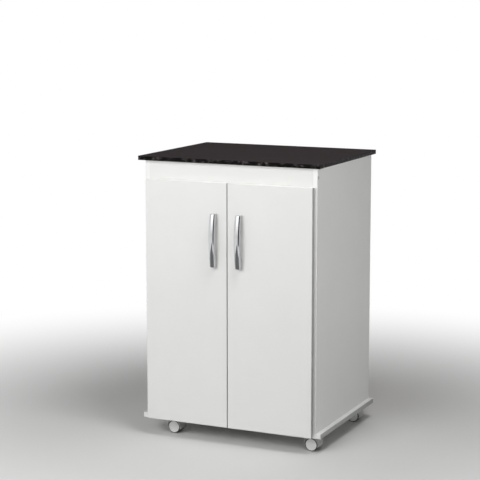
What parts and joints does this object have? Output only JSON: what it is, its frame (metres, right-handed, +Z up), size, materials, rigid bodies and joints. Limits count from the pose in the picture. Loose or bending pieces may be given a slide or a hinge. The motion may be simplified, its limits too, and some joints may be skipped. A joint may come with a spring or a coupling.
{
  "type": "microwave cart",
  "caption": "Narrow rolling kitchen cabinet with a dark laminate top, a pair of overlay doors with arched chrome pulls, an inner shelf and swivelling twin-wheel casters.",
  "frame": {"origin": "on the floor under the middle of the overall box, with the casters trailing to +X", "axes": "+Z up, doors and pulls face -Y, +X is to the right when facing the doors"},
  "size_m": [0.59, 0.4924, 0.864],
  "materials": {
    "top_laminate": "dark brown stone-look laminate, satin",
    "white_board": "white melamine facing, low sheen",
    "door_board": "white melamine facing with banded edges, satin",
    "back_hardboard": "white-faced hardboard",
    "zinc_steel": "bright zinc plated",
    "hinge_steel": "nickel plated, pressed",
    "beech": "raw turned beech",
    "white_plastic": "moulded, matt",
    "chrome_pull": "polished chrome plate on die-cast zinc",
    "caster_steel": "zinc plated, pressed",
    "hood_plastic": "moulded nylon, grey",
    "wheel_plastic": "moulded nylon, light grey",
    "tyre_rubber": "dark grey soft tread"
  },
  "bodies": {
    "cabinet": {"top_panel": "top_laminate", "side_panel_left": "white_board", "side_panel_right": "white_board", "base_panel": "white_board", "front_rail": "white_board", "rear_rail": "white_board", "back_panel": "back_hardboard", "shelf": "white_board", "shelf_pins": "zinc_steel", "joint_screws": "zinc_steel", "rail_dowels": "beech", "corner_blocks": "white_plastic", "corner_block_screws": "zinc_steel", "hinge_plates": "hinge_steel", "hinge_plate_screws": "zinc_steel", "hinge_arms": "hinge_steel", "hinge_arm_screws": "zinc_steel", "caster_screws": "zinc_steel", "front_left_caster_plate": "caster_steel", "front_right_caster_plate": "caster_steel", "rear_left_caster_plate": "caster_steel", "rear_right_caster_plate": "caster_steel"},
    "left_door": {"door_left": "door_board", "pull_left": "chrome_pull", "pull_screws_left": "zinc_steel", "hinge_cups_left": "hinge_steel", "hinge_pins_left": "hinge_steel", "cup_screws_left": "zinc_steel"},
    "right_door": {"door_right": "door_board", "pull_right": "chrome_pull", "pull_screws_right": "zinc_steel", "hinge_cups_right": "hinge_steel", "hinge_pins_right": "hinge_steel", "cup_screws_right": "zinc_steel"},
    "front_left_swivel": {"front_left_caster_hood": "hood_plastic", "front_left_caster_axle": "caster_steel"},
    "front_left_fore_wheel": {"front_left_wheel_fore": "wheel_plastic", "front_left_tyre_fore": "tyre_rubber"},
    "front_left_aft_wheel": {"front_left_wheel_aft": "wheel_plastic", "front_left_tyre_aft": "tyre_rubber"},
    "front_right_swivel": {"front_right_caster_hood": "hood_plastic", "front_right_caster_axle": "caster_steel"},
    "front_right_fore_wheel": {"front_right_wheel_fore": "wheel_plastic", "front_right_tyre_fore": "tyre_rubber"},
    "front_right_aft_wheel": {"front_right_wheel_aft": "wheel_plastic", "front_right_tyre_aft": "tyre_rubber"},
    "rear_left_swivel": {"rear_left_caster_hood": "hood_plastic", "rear_left_caster_axle": "caster_steel"},
    "rear_left_fore_wheel": {"rear_left_wheel_fore": "wheel_plastic", "rear_left_tyre_fore": "tyre_rubber"},
    "rear_left_aft_wheel": {"rear_left_wheel_aft": "wheel_plastic", "rear_left_tyre_aft": "tyre_rubber"},
    "rear_right_swivel": {"rear_right_caster_hood": "hood_plastic", "rear_right_caster_axle": "caster_steel"},
    "rear_right_fore_wheel": {"rear_right_wheel_fore": "wheel_plastic", "rear_right_tyre_fore": "tyre_rubber"},
    "rear_right_aft_wheel": {"rear_right_wheel_aft": "wheel_plastic", "rear_right_tyre_aft": "tyre_rubber"}
  },
  "joints": [
    {"name": "left_door_hinge", "type": "hinge", "parent": "cabinet", "child": "left_door", "pos_m": [-0.26495, -0.2127, 0.4245], "axis": [0, 0, -1], "range_deg": [0, 95]},
    {"name": "right_door_hinge", "type": "hinge", "parent": "cabinet", "child": "right_door", "pos_m": [0.26495, -0.2127, 0.4245], "axis": [0, 0, 1], "range_deg": [0, 95]},
    {"name": "front_left_swivel_turn", "type": "hinge", "parent": "cabinet", "child": "front_left_swivel", "pos_m": [-0.229, -0.1508, 0.03333], "axis": [0, 0, 1], "continuous": true},
    {"name": "front_left_fore_wheel_roll", "type": "hinge", "parent": "front_left_swivel", "child": "front_left_fore_wheel", "pos_m": [-0.206, -0.16415, 0.02], "axis": [0, 1, 0], "continuous": true},
    {"name": "front_left_aft_wheel_roll", "type": "hinge", "parent": "front_left_swivel", "child": "front_left_aft_wheel", "pos_m": [-0.206, -0.13745, 0.02], "axis": [0, 1, 0], "continuous": true},
    {"name": "front_right_swivel_turn", "type": "hinge", "parent": "cabinet", "child": "front_right_swivel", "pos_m": [0.229, -0.1508, 0.03333], "axis": [0, 0, 1], "continuous": true},
    {"name": "front_right_fore_wheel_roll", "type": "hinge", "parent": "front_right_swivel", "child": "front_right_fore_wheel", "pos_m": [0.252, -0.16415, 0.02], "axis": [0, 1, 0], "continuous": true},
    {"name": "front_right_aft_wheel_roll", "type": "hinge", "parent": "front_right_swivel", "child": "front_right_aft_wheel", "pos_m": [0.252, -0.13745, 0.02], "axis": [0, 1, 0], "continuous": true},
    {"name": "rear_left_swivel_turn", "type": "hinge", "parent": "cabinet", "child": "rear_left_swivel", "pos_m": [-0.229, 0.1952, 0.03333], "axis": [0, 0, 1], "continuous": true},
    {"name": "rear_left_fore_wheel_roll", "type": "hinge", "parent": "rear_left_swivel", "child": "rear_left_fore_wheel", "pos_m": [-0.206, 0.18185, 0.02], "axis": [0, 1, 0], "continuous": true},
    {"name": "rear_left_aft_wheel_roll", "type": "hinge", "parent": "rear_left_swivel", "child": "rear_left_aft_wheel", "pos_m": [-0.206, 0.20855, 0.02], "axis": [0, 1, 0], "continuous": true},
    {"name": "rear_right_swivel_turn", "type": "hinge", "parent": "cabinet", "child": "rear_right_swivel", "pos_m": [0.229, 0.1952, 0.03333], "axis": [0, 0, 1], "continuous": true},
    {"name": "rear_right_fore_wheel_roll", "type": "hinge", "parent": "rear_right_swivel", "child": "rear_right_fore_wheel", "pos_m": [0.252, 0.18185, 0.02], "axis": [0, 1, 0], "continuous": true},
    {"name": "rear_right_aft_wheel_roll", "type": "hinge", "parent": "rear_right_swivel", "child": "rear_right_aft_wheel", "pos_m": [0.252, 0.20855, 0.02], "axis": [0, 1, 0], "continuous": true}
  ]
}
